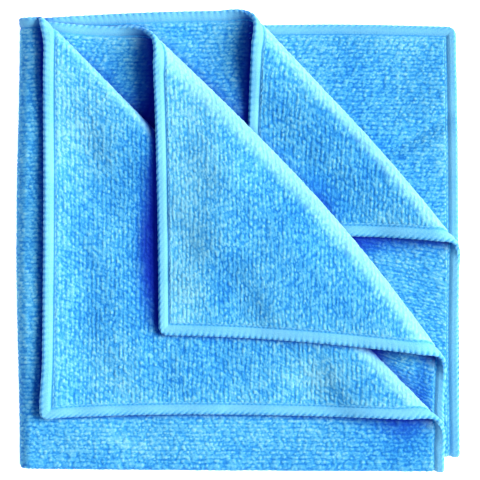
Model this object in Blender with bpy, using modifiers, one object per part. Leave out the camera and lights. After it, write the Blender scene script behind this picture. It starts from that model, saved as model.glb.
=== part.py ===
"""Microfibre cleaning cloth, folded in four, with the corners of its three upper layers turned back.

One square sheet of terry is folded up about its middle (the bottom fold), then over to the right about
its other middle line (the left fold). That gives four layers, front to back pair:

    back pair    the back layer, on the surface, and the second layer above it
    front pair   the third layer and the front layer above it

Each layer above the back one has its top right corner rolled over a diagonal fold, so every layer shows.
All lengths are metres, +Z is up, and the folded cloth is centred on its box with its underside at z = 0.
"""

from dataclasses import dataclass
from math import cos, pi, radians, sin

import bmesh
import bpy
import numpy as np

MM = 0.001

# The cloth
THICKNESS = 1.6 * MM
WIDTH_FRONT = 197.5 * MM  # from the left fold to the free side edge of the front pair
WIDTH_BACK = 202.5 * MM  # and of the back pair
HALF_HEIGHT = 201.5 * MM  # from the bottom fold to each free top edge
CORNER_RADIUS = 4.0 * MM
GRID_CELLS = 32
SMALLEST_EDGE = 0.4 * MM

# How the layers stack
LAYER_STEP = 2.3 * MM  # from one layer's middle to the next, where the cloth lies flat
FOLD_STEP = 3.2 * MM  # the same beside the left and bottom folds, which hold the layers apart
FOLD_STEP_REACH = 30.0 * MM
FULL_STEP_Y = -95.5 * MM  # below this the layers keep the fold's step

# The two quarter folds
LEFT_FOLD_X = -99.4 * MM
LEFT_FOLD_BOW = 1.6 * MM
LEFT_CENTRE_X = LEFT_FOLD_X + 1.5 * FOLD_STEP
LEFT_TURN = pi / 2 * 1.5 * FOLD_STEP  # half the cloth taken by the left fold
BOTTOM_TURN = pi / 2 * 0.5 * FOLD_STEP  # half the cloth taken by the bottom fold
LEFT_FACETS = 8
BOTTOM_FACETS = 6

# How a layer climbs over what lies under it
CLIMB = 28.0 * MM
CLIMB_MARGIN = 5.0 * MM
LOFT_REACH = 28.0 * MM  # from a diagonal fold to where the turned corner lies down
CORNER_LEFT_X = 3.0 * MM  # edges of the second layer's turned corner, which the front pair covers
CORNER_BOTTOM_Y = 1.0 * MM
FLAP_FACETS = 8

CLOTH_COLOUR = (0.10, 0.42, 0.90, 1.0)
CLOTH_ROUGHNESS = 0.9

# Across the cloth, in mm: how high the bottom fold lies, and each pair's free top edges.
# "outer" is the back and front layers' half of the cloth, "inner" the two layers' half between them.
ACROSS_COLUMNS = ("u", "bottom", "top_outer", "top_inner")
ACROSS = (
    (-197.5, -104.4, 99.9, 89.6),
    (-100.0, -103.9, 100.6, 94.4),
    (-30.0, -103.4, 101.6, 98.6),
    (0.0, -103.0, 101.0, 100.4),
    (40.0, -102.1, 99.0, 103.0),
    (90.0, -100.7, 98.0, 104.6),
    (150.0, -99.2, 98.5, 103.5),
    (202.5, -97.9, 97.4, 101.0),
)

# Up the cloth, in mm: how far right each pair's free side edge lies. v is below 0 on the inner half.
UP_COLUMNS = ("v", "side_back", "side_front")
UP = (
    (-201.5, 108.0, 100.4),
    (-130.0, 101.5, 97.0),
    (-60.0, 99.6, 94.0),
    (0.0, 100.2, 92.8),
    (60.0, 100.0, 91.4),
    (150.0, 99.4, 91.6),
    (201.5, 98.6, 94.0),
)


def table_curve(rows, columns, name):
    """A smooth curve through one column of a table, against the table's first column, in metres."""
    table = np.array(rows) * MM
    xs = table[:, 0]
    ys = table[:, columns.index(name)]
    slopes = np.gradient(ys, xs)

    def at(x):
        x = np.clip(x, xs[0], xs[-1])
        k = np.clip(np.searchsorted(xs, x) - 1, 0, len(xs) - 2)
        span = xs[k + 1] - xs[k]
        t = (x - xs[k]) / span
        start = (1 + 2 * t) * (1 - t) ** 2 * ys[k] + t * (1 - t) ** 2 * span * slopes[k]
        end = t * t * (3 - 2 * t) * ys[k + 1] + t * t * (t - 1) * span * slopes[k + 1]
        return start + end

    return at


BOTTOM_Y = table_curve(ACROSS, ACROSS_COLUMNS, "bottom")
TOP_OUTER_Y = table_curve(ACROSS, ACROSS_COLUMNS, "top_outer")
TOP_INNER_Y = table_curve(ACROSS, ACROSS_COLUMNS, "top_inner")
SIDE_BACK_X = table_curve(UP, UP_COLUMNS, "side_back")
SIDE_FRONT_X = table_curve(UP, UP_COLUMNS, "side_front")


def ease(t):
    """0 to 1 with no corner at either end."""
    t = np.clip(t, 0.0, 1.0)
    return t**3 * (t * (6 * t - 15) + 10)


def layer_step(x, y):
    """The distance from one layer to the next: larger beside the left and bottom folds."""
    near_left = 1 - ease((x - LEFT_CENTRE_X) / FOLD_STEP_REACH)
    near_bottom = 1 - ease((y - FULL_STEP_Y) / FOLD_STEP_REACH)
    near_fold = 1 - (1 - near_left) * (1 - near_bottom)
    return LAYER_STEP + (FOLD_STEP - LAYER_STEP) * near_fold


@dataclass(frozen=True)
class TurnedCorner:
    """A corner rolled back over a diagonal fold. Pairs of values are for the fold's upper left and lower
    right ends. Lengths are mm.

    middle is a point on the fold's outer edge, angle its direction, and span its length. reach is how far
    the roll stands out, rise half its height at the upper end, the middle and the lower end. bow pushes
    the fold's middle outwards, sag lets its lower end slip down over slack of cloth, stretch draws the
    corner out evenly, and ear pulls its tip.
    """

    middle: tuple
    angle: float
    span: float
    reach: tuple
    rise: tuple
    bow: float
    sag: float
    slack: float
    stretch: tuple
    ear: tuple
    tip: float

    def along(self):
        return np.array((cos(radians(self.angle)), sin(radians(self.angle))))

    def outward(self):
        return np.array((-sin(radians(self.angle)), cos(radians(self.angle))))

    def local(self, x, y):
        """Distance along the fold from its middle, and outwards from its straight line."""
        dx = x - self.middle[0] * MM
        dy = y - self.middle[1] * MM
        d, n = self.along(), self.outward()
        return dx * d[0] + dy * d[1], dx * n[0] + dy * n[1]

    def world(self, a, out):
        d, n = self.along(), self.outward()
        x = self.middle[0] * MM + a * d[0] + out * n[0]
        y = self.middle[1] * MM + a * d[1] + out * n[1]
        return x, y

    def share(self, a):
        """0 at the fold's upper end, 1 at its lower end, and a little beyond either."""
        return np.clip(0.5 + a / (self.span * MM), -0.15, 1.15)

    def roll_reach(self, a):
        return (self.reach[0] + (self.reach[1] - self.reach[0]) * self.share(a)) * MM

    def roll_length(self, a):
        """Cloth taken by the roll, from the half girths of its two ends."""
        first = pi * np.hypot(self.reach[0], self.rise[0]) / 2**0.5
        last = pi * np.hypot(self.reach[1], self.rise[2]) / 2**0.5
        return (first + (last - first) * self.share(a)) * MM

    def half_rise(self, a):
        share = np.clip(self.share(a), 0, 1)
        upper, middle, lower = self.rise
        towards_upper = (upper - middle) * ease(1 - share / 0.3)
        towards_lower = (lower - middle) * ease((share - 0.7) / 0.3)
        return (middle + towards_upper + towards_lower) * MM

    def edge(self, a):
        """How far the bowed fold lies outside its straight line."""
        return self.bow * MM * (1 - np.clip(2 * a / (self.span * MM), -1.2, 1.2) ** 2)

    def slip(self, a):
        return self.sag * MM * (np.maximum(self.share(a) - 0.45, 0) / 0.55) ** 2

    def inside(self, x, y):
        """Place along the fold, and distance behind the start of its roll, of any point."""
        a, _ = self.local(x, y)
        a, out = self.local(x, y + self.slip(a))
        return a, self.edge(a) - self.roll_reach(a) - out

    def loft(self, x, y):
        """The turned corner's height above its own layer."""
        a, behind = self.inside(x, y)
        step = layer_step(x, y)
        return step + (2 * self.half_rise(a) - step) * (1 - ease(behind / LOFT_REACH))

    def covers(self, x, y):
        """1 where the folded edge lies underneath, falling to 0 outside it."""
        a, behind = self.inside(x, y)
        outside = -behind - self.roll_reach(a)
        return 1 - ease((outside - CLIMB_MARGIN) / CLIMB)

    def fold(self, x, y):
        """Where a point of the flat layer goes, and its angle round the roll."""
        a, out = self.local(x, y)
        reach, length, edge = self.roll_reach(a), self.roll_length(a), self.edge(a)
        past_start = out + reach
        beyond = np.maximum(past_start - length, 0)
        angle = pi * np.clip(past_start / length, 0, 1)
        flat = out + edge * ease(1 + past_start / (30 * MM))
        rolled = edge - reach + reach * np.sin(angle) - beyond
        new_x, new_y = self.world(a, np.where(past_start <= 0, flat, rolled))
        slip = self.slip(a) * ease(1 + past_start / (self.slack * MM))
        tip = np.maximum(1 - np.hypot(a, beyond - self.tip * MM) / (22 * MM), 0) ** 2
        drawn = beyond / 80
        new_x = new_x + self.stretch[0] * drawn + self.ear[0] * MM * tip
        new_y = new_y + self.stretch[1] * drawn + self.ear[1] * MM * tip - slip
        return new_x, new_y, angle

    def cut_line(self, part):
        """Two points on the line that lies this part of the way round the roll, on the flat layer."""
        ends = []
        for a in (-self.span * MM / 2, self.span * MM / 2):
            ends.append(self.world(a, part * self.roll_length(a) - self.roll_reach(a)))
        return np.array(ends)


SECOND_CORNER = TurnedCorner(
    middle=(54.2, 50.4), angle=-46.66, span=140, reach=(9.0, 5.0), rise=(4.2, 2.6, 3.0), bow=0,
    sag=6.5, slack=45, stretch=(-1.0, -2.0), ear=(0, 0), tip=60,
)
THIRD_CORNER = TurnedCorner(
    middle=(23.1, 27.3), angle=-46.0, span=190, reach=(9.5, 6.5), rise=(5.4, 3.3, 3.6), bow=2.6,
    sag=9.0, slack=36, stretch=(0, 0), ear=(0, 0), tip=90,
)
FRONT_CORNER = TurnedCorner(
    middle=(-6.6, 16.2), angle=-45.5, span=262, reach=(2.0, 9.0), rise=(2.2, 2.4, 3.4), bow=0,
    sag=0, slack=45, stretch=(0, 0), ear=(-2.5, -4.0), tip=122,
)


# Heights of each layer's middle surface above any point of the surface it lies on.
def back_height(x, y):
    return THICKNESS / 2 + 0 * x


def second_height(x, y):
    return back_height(x, y) + layer_step(x, y)


def third_height(x, y):
    """The third layer climbs over the second layer's turned corner."""
    over_left = ease(1 + (x - CORNER_LEFT_X + CLIMB_MARGIN) / CLIMB)
    over_bottom = ease(1 + (y - CORNER_BOTTOM_Y + CLIMB_MARGIN) / CLIMB)
    over = over_left * over_bottom * SECOND_CORNER.loft(x, y)
    return second_height(x, y) + layer_step(x, y) + over


def front_height(x, y):
    return third_height(x, y) + layer_step(x, y)


def second_loft(x, y):
    return SECOND_CORNER.loft(x, y)


def third_loft(x, y):
    """The third layer's turned corner climbs over the front layer and its turned corner."""
    own = THIRD_CORNER.loft(x, y)
    over_both = 2 * layer_step(x, y) + FRONT_CORNER.loft(x, y)
    return own + (over_both - own) * FRONT_CORNER.covers(x, y)


def front_loft(x, y):
    return FRONT_CORNER.loft(x, y)


# (side of the left fold, side of the bottom fold): layer height, corner, corner's height above the layer
LAYERS = {
    (1, 1): (back_height, None, None),
    (1, -1): (second_height, SECOND_CORNER, second_loft),
    (-1, -1): (third_height, THIRD_CORNER, third_loft),
    (-1, 1): (front_height, FRONT_CORNER, front_loft),
}


def round_corners(u, v, width):
    """Draws the sheet's square corners in to a radius."""
    p = np.clip((np.abs(u) - width + CORNER_RADIUS) / CORNER_RADIUS, 0, 1)
    q = np.clip((np.abs(v) - HALF_HEIGHT + CORNER_RADIUS) / CORNER_RADIUS, 0, 1)
    u = u + np.sign(u) * CORNER_RADIUS * p * (np.sqrt(1 - q * q / 2) - 1)
    v = v + np.sign(v) * CORNER_RADIUS * q * (np.sqrt(1 - p * p / 2) - 1)
    return u, v


def quarter_fold(u, v):
    """The sheet folded in four, its corners not yet turned: x, y and z of points (u, v) of the flat sheet.

    The bottom fold is a half round between the inner and outer layers, and the left fold carries it
    round a wider half circle, so shell is 0.5 on the inner layers and 1.5 on the outer ones.
    """
    width = np.where(u > 0, WIDTH_BACK, WIDTH_FRONT)
    u, v = round_corners(u, v, width)
    centre_x = LEFT_CENTRE_X - LEFT_FOLD_BOW * np.sin(pi * np.clip(np.abs(v) / HALF_HEIGHT, 0, 1)) ** 2
    centre_y = BOTTOM_Y(u) + 0.5 * FOLD_STEP
    round_bottom = pi / 2 * np.clip(v / BOTTOM_TURN, -1, 1)
    round_left = pi / 2 * (1 - np.clip(u / LEFT_TURN, -1, 1))
    shell = 1 + 0.5 * np.sin(round_bottom)
    side_x = np.where(u > 0, SIDE_BACK_X(v), SIDE_FRONT_X(v))
    top_y = np.where(v > 0, TOP_OUTER_Y(u), TOP_INNER_Y(u))
    part_x = np.maximum(np.abs(u) - LEFT_TURN, 0) / (width - LEFT_TURN)
    part_y = np.maximum(np.abs(v) - BOTTOM_TURN, 0) / (HALF_HEIGHT - BOTTOM_TURN)
    x = centre_x + part_x * (side_x - centre_x) - shell * FOLD_STEP * np.sin(round_left)
    y = centre_y + part_y * (top_y - centre_y) - 0.5 * FOLD_STEP * np.cos(round_bottom)
    z = THICKNESS / 2 + layer_step(x, y) * (1.5 - shell * np.cos(round_left))
    climb = third_height(x, y) - second_height(x, y) - layer_step(x, y)
    return x, y, z + climb * (u < 0)


def turn_corner(x, y, layer):
    """A flat layer's points with its corner rolled over on top."""
    height, corner, loft = layer
    x, y, angle = corner.fold(x, y)
    return x, y, height(x, y) + loft(x, y) * (1 - np.cos(angle)) / 2


def coordinates(verts):
    points = np.array([v.co for v in verts])
    return points[:, 0], points[:, 1]


def place(verts, x, y, z):
    for vert, point in zip(verts, np.column_stack((x, y, z))):
        vert.co = point


def cut(bm, faces, point, normal):
    """Cuts these faces along a line, adding points where it crosses them."""
    parts = set(faces)
    for face in faces:
        parts.update(face.edges)
        parts.update(face.verts)
    bmesh.ops.bisect_plane(bm, geom=list(parts), plane_co=point, plane_no=normal, dist=0.02 * MM)


def flat_sheet():
    """The square sheet in its own coordinates, with lines for the two quarter folds to bend on."""
    bm = bmesh.new()
    width = WIDTH_FRONT + WIDTH_BACK
    bmesh.ops.create_grid(bm, x_segments=GRID_CELLS, y_segments=GRID_CELLS, size=0.5)
    bmesh.ops.scale(bm, vec=(width, 2 * HALF_HEIGHT, 1), verts=bm.verts)
    bmesh.ops.translate(bm, vec=((WIDTH_BACK - WIDTH_FRONT) / 2, 0, 0), verts=bm.verts)
    for place_u in np.linspace(-LEFT_TURN, LEFT_TURN, LEFT_FACETS + 1):
        cut(bm, bm.faces[:], (place_u, 0, 0), (1, 0, 0))
    for place_v in np.linspace(-BOTTOM_TURN, BOTTOM_TURN, BOTTOM_FACETS + 1):
        cut(bm, bm.faces[:], (0, place_v, 0), (0, 1, 0))
    return bm


def layer_faces(bm, side, half):
    """The faces of one layer, outside both quarter folds."""
    found = []
    for face in bm.faces:
        middle = face.calc_center_median()
        if middle.x * side > LEFT_TURN and middle.y * half > BOTTOM_TURN:
            found.append(face)
    return found


def fold_sheet(bm):
    """Folds the flat sheet: the quarter folds first, then each layer's corner."""
    tag = bm.faces.layers.int.new("layer")
    for number, (side, half) in enumerate(LAYERS, start=1):
        for face in layer_faces(bm, side, half):
            face[tag] = number
    verts = bm.verts[:]
    place(verts, *quarter_fold(*coordinates(verts)))
    for number, layer in enumerate(LAYERS.values(), start=1):
        corner = layer[1]
        if corner is None:
            continue
        for part in np.linspace(0, 1, FLAP_FACETS + 1):
            start, end = corner.cut_line(part)
            normal = (start[1] - end[1], end[0] - start[0], 0)
            cut(bm, [f for f in bm.faces if f[tag] == number], (start[0], start[1], 0), normal)
        verts = list({v for f in bm.faces if f[tag] == number for v in f.verts})
        bmesh.ops.remove_doubles(bm, verts=verts, dist=SMALLEST_EDGE)
        bmesh.ops.triangulate(bm, faces=[f for f in bm.faces if f[tag] == number])
        verts = list({v for f in bm.faces if f[tag] == number for v in f.verts})
        place(verts, *turn_corner(*coordinates(verts), layer))


def centre_on_box(obj):
    """Moves the points so that the finished solid's box is centred over the origin, standing on z = 0."""
    depsgraph = bpy.context.evaluated_depsgraph_get()
    solid = obj.evaluated_get(depsgraph).to_mesh()
    points = np.array([v.co for v in solid.vertices])
    low, high = points.min(axis=0), points.max(axis=0)
    obj.evaluated_get(depsgraph).to_mesh_clear()
    shift = np.array(((low[0] + high[0]) / 2, (low[1] + high[1]) / 2, low[2]))
    for vert in obj.data.vertices:
        vert.co = np.array(vert.co) - shift


def cloth_material():
    material = bpy.data.materials.new("sky_blue_microfibre")
    material.use_nodes = True
    shader = material.node_tree.nodes["Principled BSDF"]
    shader.inputs["Base Color"].default_value = CLOTH_COLOUR
    shader.inputs["Roughness"].default_value = CLOTH_ROUGHNESS
    shader.inputs["Metallic"].default_value = 0.0
    return material


def make_cloth(collection):
    bm = flat_sheet()
    fold_sheet(bm)
    mesh = bpy.data.meshes.new("cloth")
    bm.to_mesh(mesh)
    bm.free()
    obj = bpy.data.objects.new("cloth", mesh)
    collection.objects.link(obj)
    mesh.materials.append(cloth_material())
    mesh.shade_smooth()
    shell = obj.modifiers.new("thickness", "SOLIDIFY")
    shell.thickness = THICKNESS
    shell.offset = 0.0
    shell.use_even_offset = True
    centre_on_box(obj)
    return obj


def main():
    for old in list(bpy.data.objects):
        bpy.data.objects.remove(old)
    collection = bpy.data.collections.new("microfibre_cloth")
    bpy.context.scene.collection.children.link(collection)
    make_cloth(collection)


main()
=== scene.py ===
"""Looks for the microfibre cleaning cloth: a square of ribbed terry with an overlocked edge.

The cloth is folded in four, and the corners of its three upper layers are rolled back. The same fold plan
places three kinds of piece: the thin folded sheet, a skin of loops wherever a face of the cloth shows, and
the overlocked hem that runs round the whole sheet. Lengths are metres, and tables that a class describes
so are in millimetres. Angles in tables are degrees.
"""

import logging
from dataclasses import dataclass, field
from enum import Enum
from math import cos, pi, radians, sin
from typing import Any, ClassVar, Iterable, Union

import bpy
import numpy as np
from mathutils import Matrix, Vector
from mathutils.bvhtree import BVHTree


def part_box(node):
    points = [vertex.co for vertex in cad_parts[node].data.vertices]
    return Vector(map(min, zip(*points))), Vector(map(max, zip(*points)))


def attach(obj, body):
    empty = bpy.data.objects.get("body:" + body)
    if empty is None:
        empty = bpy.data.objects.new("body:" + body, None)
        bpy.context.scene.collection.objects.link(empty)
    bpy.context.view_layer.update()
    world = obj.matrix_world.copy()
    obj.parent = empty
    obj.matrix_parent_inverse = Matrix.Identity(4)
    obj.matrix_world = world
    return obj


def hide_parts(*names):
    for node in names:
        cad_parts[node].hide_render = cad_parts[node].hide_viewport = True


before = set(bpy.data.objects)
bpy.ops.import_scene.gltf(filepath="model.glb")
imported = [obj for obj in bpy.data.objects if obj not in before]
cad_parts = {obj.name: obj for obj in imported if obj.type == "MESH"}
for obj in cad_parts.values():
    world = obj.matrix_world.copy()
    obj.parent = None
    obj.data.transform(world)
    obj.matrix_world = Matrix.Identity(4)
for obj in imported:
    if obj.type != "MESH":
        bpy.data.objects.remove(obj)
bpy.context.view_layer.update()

MM = 0.001
FLOOR_GAP = 0.02 * MM
LOOP_SEED = 40
Array = np.ndarray
Number = Union[float, "Shade"]
Colour = tuple[float, float, float]
LOG = logging.getLogger("cloth")


def ease(t: Array) -> Array:
    """Go from 0 to 1 with no corner at either end."""
    t = np.clip(t, 0.0, 1.0)
    return t**3 * (t * (6 * t - 15) + 10)


class TableCurve:
    """A smooth curve through a table's rows."""

    def __init__(self, xs: Iterable[float], ys: Iterable[float]) -> None:
        """Fit the curve.

        Args:
            xs: the table's first column, in millimetres.
            ys: the column that the curve gives, in millimetres.
        """
        self.xs = np.array(xs) * MM
        self.ys = np.array(ys) * MM
        self.slopes = np.gradient(self.ys, self.xs)

    def __call__(self, x: Array) -> Array:
        """Read the curve.

        Args:
            x: places along the first column, in metres.

        Returns:
            The curve's values, in metres.
        """
        xs, ys, slopes = self.xs, self.ys, self.slopes
        x = np.clip(x, xs[0], xs[-1])
        k = np.clip(np.searchsorted(xs, x) - 1, 0, len(xs) - 2)
        span = xs[k + 1] - xs[k]
        t = (x - xs[k]) / span
        start = (1 + 2 * t) * (1 - t) ** 2 * ys[k] + t * (1 - t) ** 2 * span * slopes[k]
        end = t * t * (3 - 2 * t) * ys[k + 1] + t * t * (t - 1) * span * slopes[k + 1]
        return start + end


@dataclass(frozen=True)
class Swell:
    """Soft uneven waves, as a cloth lies, always 0 or more."""

    height: float
    length: float
    seed: int
    count: int = 9
    lengths: tuple[float, float] = (0.7, 1.5)

    def __call__(self, x: Array, y: Array) -> Array:
        """Give the waves' height.

        Args:
            x: places across.
            y: places up.

        Returns:
            Heights from 0 to the swell's full height.
        """
        draw = np.random.default_rng(self.seed)
        total = np.zeros_like(np.asarray(x, dtype=float))
        for _ in range(self.count):
            turn = draw.uniform(0, 2 * pi)
            rate = 2 * pi / (self.length * draw.uniform(*self.lengths))
            start = draw.uniform(0, 2 * pi)
            total = total + np.sin(rate * (x * cos(turn) + y * sin(turn)) + start)
        return self.height * (0.5 + 0.5 * np.tanh(total / self.count**0.5))


@dataclass(frozen=True)
class Crease:
    """A soft trough pressed in one place of a layer, with its two sides raised.

    start and end are in millimetres. fade is how far it runs on past them, and spread how many times its
    width the raised sides reach.
    """

    start: tuple[float, float]
    end: tuple[float, float]
    height: float
    width: float
    fade: float = 7.0 * MM
    spread: float = 3.2

    def __call__(self, x: Array, y: Array) -> Array:
        """Give the height that the crease adds.

        Args:
            x: places across.
            y: places up.

        Returns:
            Heights, 0 in the trough and away from the crease.
        """
        first = np.array(self.start) * MM
        way = np.array(self.end) * MM - first
        length = np.hypot(*way)
        way = way / length
        along = (x - first[0]) * way[0] + (y - first[1]) * way[1]
        off = (x - first[0]) * -way[1] + (y - first[1]) * way[0]
        beyond = np.maximum(np.abs(along - length / 2) - length / 2, 0)
        near = np.exp(-((beyond / self.fade) ** 2) - (off / (self.spread * self.width)) ** 2)
        return self.height * near * (1 - np.exp(-((off / self.width) ** 2)))


@dataclass(frozen=True)
class TurnedCorner:
    """A corner rolled back over a diagonal fold.

    Pairs of values are for the fold's upper left and lower right ends, in millimetres. middle is a point
    on the fold's outer edge, angle its direction, and span its length. reach is how far the roll stands
    out, and rise half its height at the upper end, the middle and the lower end. bow pushes the fold's
    middle outwards, sag lets its lower end slip down over slack of cloth, stretch draws the corner out
    evenly, and ear pulls its tip. waves are the uneven waves of the turned corner, and curl is how far its
    edge swings to the left where it leaves the fold's upper end. band is how wide the painted highlight along
    the fold's outer line is, and the field after it how much of that painted highlight is missing at the
    upper end.

    SETTLE is the cloth that a roll takes to lie down, CALM the cloth before the waves are full, LAP what
    lies level past a covered edge, LEAD the cloth before the fold that bows with it, and EAR how far the
    pull on the tip reaches. STRETCH_OVER and CURL_ROOM are millimetres along the corner and the fold, and
    CURL_FADE is how soon the curl ends behind the roll. SLIP_START and RISE_ENDS are shares of the fold.
    """

    SETTLE: ClassVar[float] = 28 * MM
    CALM: ClassVar[float] = 18 * MM
    LAP: ClassVar[float] = 5 * MM
    LEAD: ClassVar[float] = 30 * MM
    EAR: ClassVar[float] = 22 * MM
    CURL_FADE: ClassVar[float] = 13 * MM
    CURL_ROOM: ClassVar[float] = 26.0
    STRETCH_OVER: ClassVar[float] = 80.0
    SLIP_START: ClassVar[float] = 0.45
    RISE_ENDS: ClassVar[float] = 0.3

    middle: tuple[float, float]
    angle: float
    span: float
    reach: tuple[float, float]
    rise: tuple[float, float, float]
    bow: float
    sag: float
    slack: float
    stretch: tuple[float, float]
    ear: tuple[float, float]
    tip: float
    waves: Swell
    band: tuple[float, float]
    highlight_missing: float = 0.2
    curl: float = 0.0

    def local(self, x: Array, y: Array) -> tuple[Array, Array]:
        """Give distance along the fold from its middle, and outwards from its straight line.

        Args:
            x: places across.
            y: places up.

        Returns:
            Distances along and outwards.
        """
        turn = radians(self.angle)
        dx = x - self.middle[0] * MM
        dy = y - self.middle[1] * MM
        return dx * cos(turn) + dy * sin(turn), -dx * sin(turn) + dy * cos(turn)

    def world(self, a: Array, out: Array) -> tuple[Array, Array]:
        """Turn distances along and outwards back into places.

        Args:
            a: distances along the fold.
            out: distances outwards.

        Returns:
            Places across and up.
        """
        turn = radians(self.angle)
        x = self.middle[0] * MM + a * cos(turn) - out * sin(turn)
        y = self.middle[1] * MM + a * sin(turn) + out * cos(turn)
        return x, y

    def share(self, a: Array) -> Array:
        """Give 0 at the fold's upper end and 1 at its lower end, and a little beyond either."""
        return np.clip(0.5 + a / (self.span * MM), -0.15, 1.15)

    def roll_reach(self, a: Array) -> Array:
        """Give how far the roll stands out."""
        return (self.reach[0] + (self.reach[1] - self.reach[0]) * self.share(a)) * MM

    def roll_length(self, a: Array) -> Array:
        """Give the cloth taken by the roll, from the half girths of its two ends."""
        first = pi * np.hypot(self.reach[0], self.rise[0]) / 2**0.5
        last = pi * np.hypot(self.reach[1], self.rise[2]) / 2**0.5
        return (first + (last - first) * self.share(a)) * MM

    def half_rise(self, a: Array) -> Array:
        """Give half the roll's height.

        Args:
            a: distances along the fold.

        Returns:
            Half heights.
        """
        share = np.clip(self.share(a), 0, 1)
        upper, middle, lower = self.rise
        towards_upper = (upper - middle) * ease(1 - share / self.RISE_ENDS)
        towards_lower = (lower - middle) * ease((share - 1 + self.RISE_ENDS) / self.RISE_ENDS)
        return (middle + towards_upper + towards_lower) * MM

    def edge(self, a: Array) -> Array:
        """Give how far the bowed fold lies outside its straight line."""
        return self.bow * MM * (1 - np.clip(2 * a / (self.span * MM), -1.2, 1.2) ** 2)

    def slip(self, a: Array) -> Array:
        """Give how far the fold's lower end has slipped down."""
        past = np.maximum(self.share(a) - self.SLIP_START, 0)
        return self.sag * MM * (past / (1 - self.SLIP_START)) ** 2

    def inside(self, x: Array, y: Array) -> tuple[Array, Array]:
        """Give place along the fold, and distance behind the start of its roll."""
        a, out = self.local(x, y + self.slip(self.local(x, y)[0]))
        return a, self.edge(a) - self.roll_reach(a) - out

    def loft(self, x: Array, y: Array, step: Array) -> Array:
        """Give the turned corner's height above its own layer.

        Args:
            x: places across.
            y: places up.
            step: the distance from one layer to the next there.

        Returns:
            Heights of the corner's middle surface above the layer's.
        """
        a, behind = self.inside(x, y)
        roll = step + (2 * self.half_rise(a) - step) * (1 - ease(behind / self.SETTLE))
        return roll + self.waves(x, y) * ease(behind / self.CALM)

    def covers(self, x: Array, y: Array) -> Array:
        """Give 1 where the folded edge lies underneath, falling to 0 outside it."""
        a, behind = self.inside(x, y)
        return 1 - ease((-behind - self.roll_reach(a) - self.LAP) / self.SETTLE)

    def fold(self, x: Array, y: Array) -> tuple[Array, Array, Array]:
        """Roll points of the flat layer over.

        Args:
            x: places across.
            y: places up.

        Returns:
            New places across and up, and the angle round the roll, 0..pi.
        """
        a, out = self.local(x, y)
        reach, length, edge = self.roll_reach(a), self.roll_length(a), self.edge(a)
        past_start = out + reach
        beyond = np.maximum(past_start - length, 0)
        angle = pi * np.clip(past_start / length, 0, 1)
        flat = out + edge * ease(1 + past_start / self.LEAD)
        rolled = edge - reach + reach * np.sin(angle) - beyond
        new_x, new_y = self.world(a, np.where(past_start <= 0, flat, rolled))
        slip = self.slip(a) * ease(1 + past_start / (self.slack * MM))
        tip = np.maximum(1 - np.hypot(a, beyond - self.tip * MM) / self.EAR, 0) ** 2
        drawn = beyond / self.STRETCH_OVER
        upper = 1 - ease((a / MM + self.span / 2) / self.CURL_ROOM)
        swing = self.curl * MM * upper * (1 - ease(beyond / self.CURL_FADE)) * (1 - np.cos(angle)) / 2
        new_x = new_x + self.stretch[0] * drawn + self.ear[0] * MM * tip - swing
        new_y = new_y + self.stretch[1] * drawn + self.ear[1] * MM * tip - slip
        return new_x, new_y, angle

    def painted_highlight(self, x: Array, y: Array) -> Array:
        """Give the painted highlight along the fold: how near points of the flat layer come to its outer
        line.

        Args:
            x: places across.
            y: places up.

        Returns:
            1 on the line, falling to 0 past the band.
        """
        a, out = self.local(x, y)
        reach, length = self.roll_reach(a), self.roll_length(a)
        past_start = out + reach
        angle = pi * np.clip(past_start / length, 0, 1)
        behind = reach * (1 - np.sin(angle)) + np.maximum(past_start - length, 0)
        width = (self.band[0] + (self.band[1] - self.band[0]) * np.clip(self.share(a), 0, 1)) * MM
        # The painted highlight is weaker towards the fold's upper end.
        strength = 1 - self.highlight_missing * (1 - ease(self.share(a) / 0.5))
        return strength * (1 - ease((behind - 0.2 * width) / width)) * (past_start > 0)


SECOND_CORNER = TurnedCorner(
    middle=(54.2, 50.4), angle=-46.66, span=140, reach=(9.0, 5.0), rise=(4.2, 2.6, 3.0), bow=0,
    sag=6.5, slack=45, stretch=(-1.0, -2.0), ear=(0, 0), tip=60, waves=Swell(0.5 * MM, 21 * MM, 5),
    band=(5.0, 6.0),
)
THIRD_CORNER = TurnedCorner(
    middle=(23.1, 27.3), angle=-46.0, span=190, reach=(9.5, 6.5), rise=(5.4, 3.3, 3.6), bow=2.6,
    sag=9.0, slack=36, stretch=(0, 0), ear=(0, 0), tip=90, waves=Swell(0.3 * MM, 25 * MM, 12),
    band=(9.0, 7.0), highlight_missing=0.0,
)
FRONT_CORNER = TurnedCorner(
    middle=(-6.6, 16.2), angle=-45.5, span=262, reach=(2.0, 9.0), rise=(2.2, 2.4, 3.4), bow=0,
    sag=0, slack=45, stretch=(0, 0), ear=(-2.5, -4.0), tip=122, waves=Swell(0.7 * MM, 27 * MM, 31),
    band=(2.5, 6.5), highlight_missing=0.6, curl=6.5,
)
TURNED = ((1, -1, SECOND_CORNER), (-1, -1, THIRD_CORNER), (-1, 1, FRONT_CORNER))


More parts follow.
